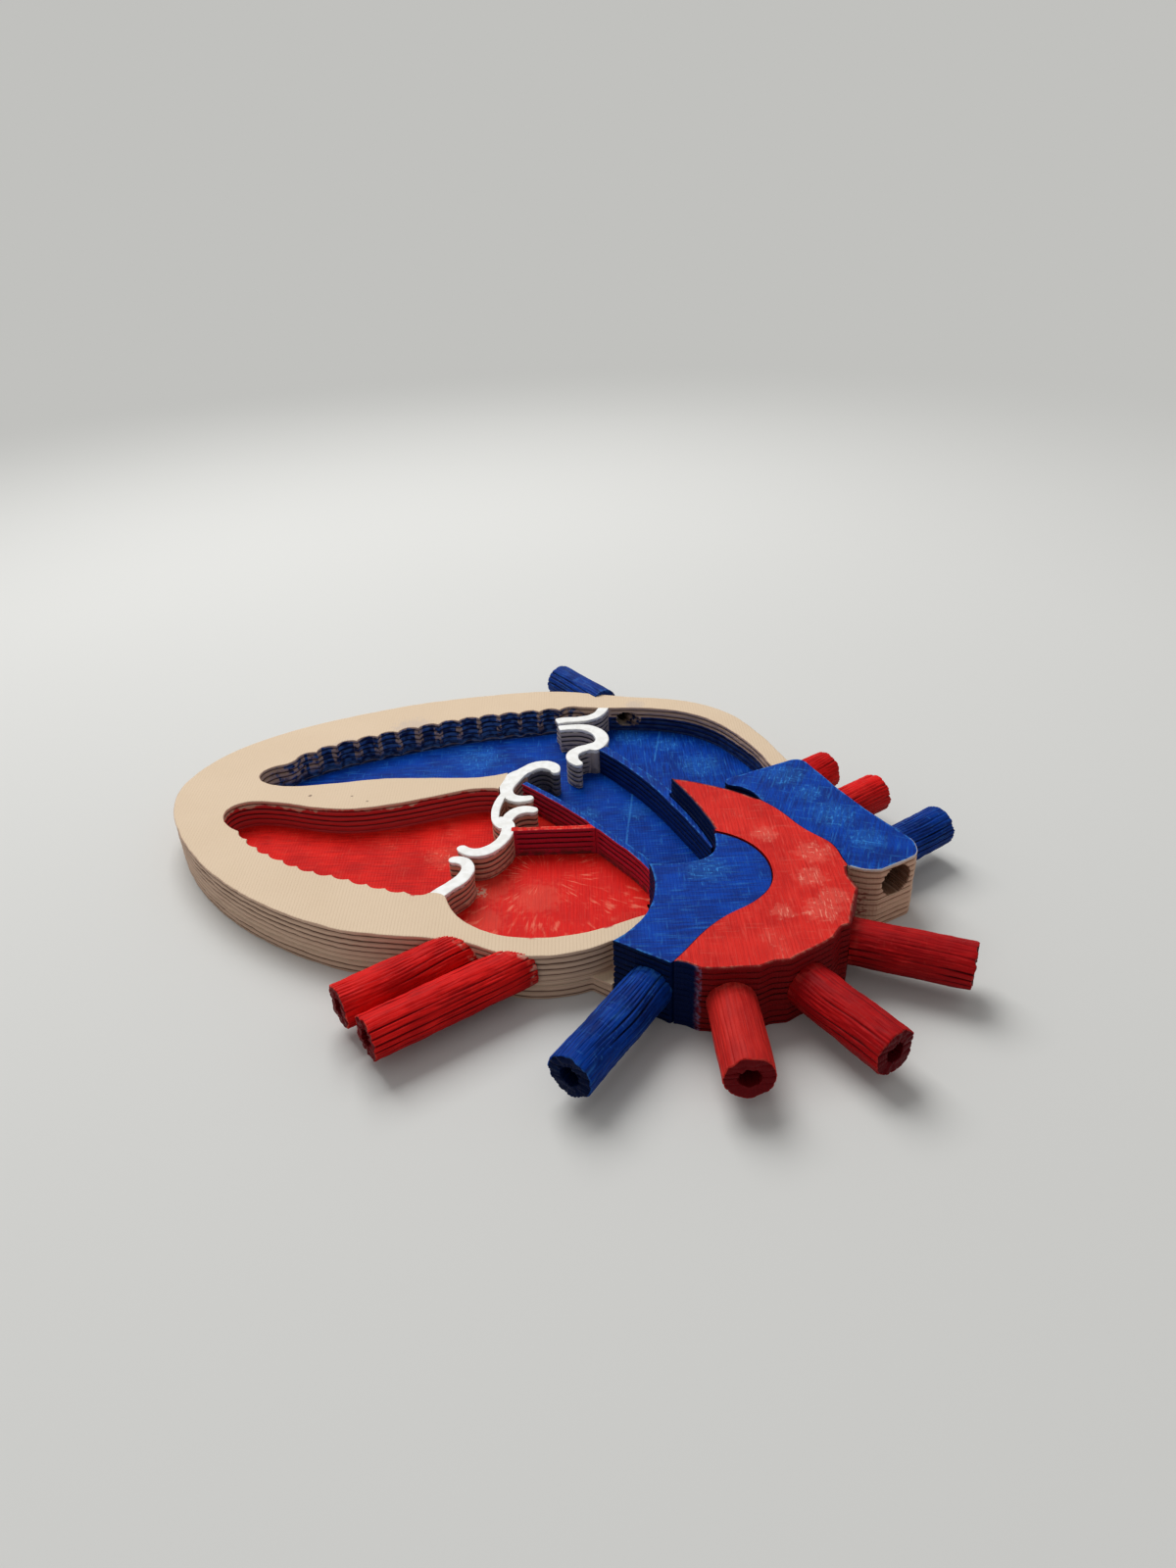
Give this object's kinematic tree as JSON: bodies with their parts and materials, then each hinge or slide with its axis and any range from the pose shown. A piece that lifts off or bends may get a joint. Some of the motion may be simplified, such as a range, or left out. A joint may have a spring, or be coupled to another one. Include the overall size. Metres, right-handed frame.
{
  "type": "human heart anatomy model",
  "caption": "Flat cutaway teaching model of a human heart: open chambers, standing valve flaps and great vessel stubs, lying on its flat back.",
  "frame": {"origin": "on the flat back face, under the point where the valves meet", "axes": "+Z out of the cut front, +Y towards the great vessels, +X towards the heart's own left side"},
  "size_m": [0.1323, 0.1468, 0.0136],
  "materials": {
    "tan_print": "bare tan printed plastic, matt, with fine print layers",
    "blue_paint": "hand-brushed blue acrylic, satin, streaky",
    "red_paint": "hand-brushed red acrylic, satin, streaky",
    "white_paint": "white acrylic on top, bare tan plastic on the sides"
  },
  "bodies": {
    "root": {"heart_body": "tan_print", "right_atrium_floor": "blue_paint", "right_ventricle_floor": "blue_paint", "conus_wall": "blue_paint", "outflow_septum": "blue_paint", "pulmonary_trunk": "blue_paint", "superior_vena_cava": "blue_paint", "left_pulmonary_artery": "blue_paint", "inferior_vena_cava": "blue_paint", "right_pulmonary_artery": "blue_paint", "left_atrium_floor": "red_paint", "left_ventricle_floor": "red_paint", "atrial_root_wall": "red_paint", "aorta": "red_paint", "brachiocephalic_trunk": "red_paint", "left_carotid_artery": "red_paint", "left_subclavian_artery": "red_paint", "right_upper_pulmonary_vein": "red_paint", "right_lower_pulmonary_vein": "red_paint", "left_upper_pulmonary_vein": "red_paint", "left_lower_pulmonary_vein": "red_paint", "valve_crux": "white_paint", "tricuspid_lateral_leaflet": "white_paint", "tricuspid_septal_leaflet": "white_paint", "pulmonary_medial_cusp": "white_paint", "pulmonary_lateral_cusp": "white_paint", "aortic_lower_cusp": "white_paint", "aortic_upper_cusp": "white_paint", "aortic_ring_wall": "white_paint", "mitral_anterior_leaflet": "white_paint", "mitral_posterior_leaflet": "white_paint"}
  },
  "joints": []
}
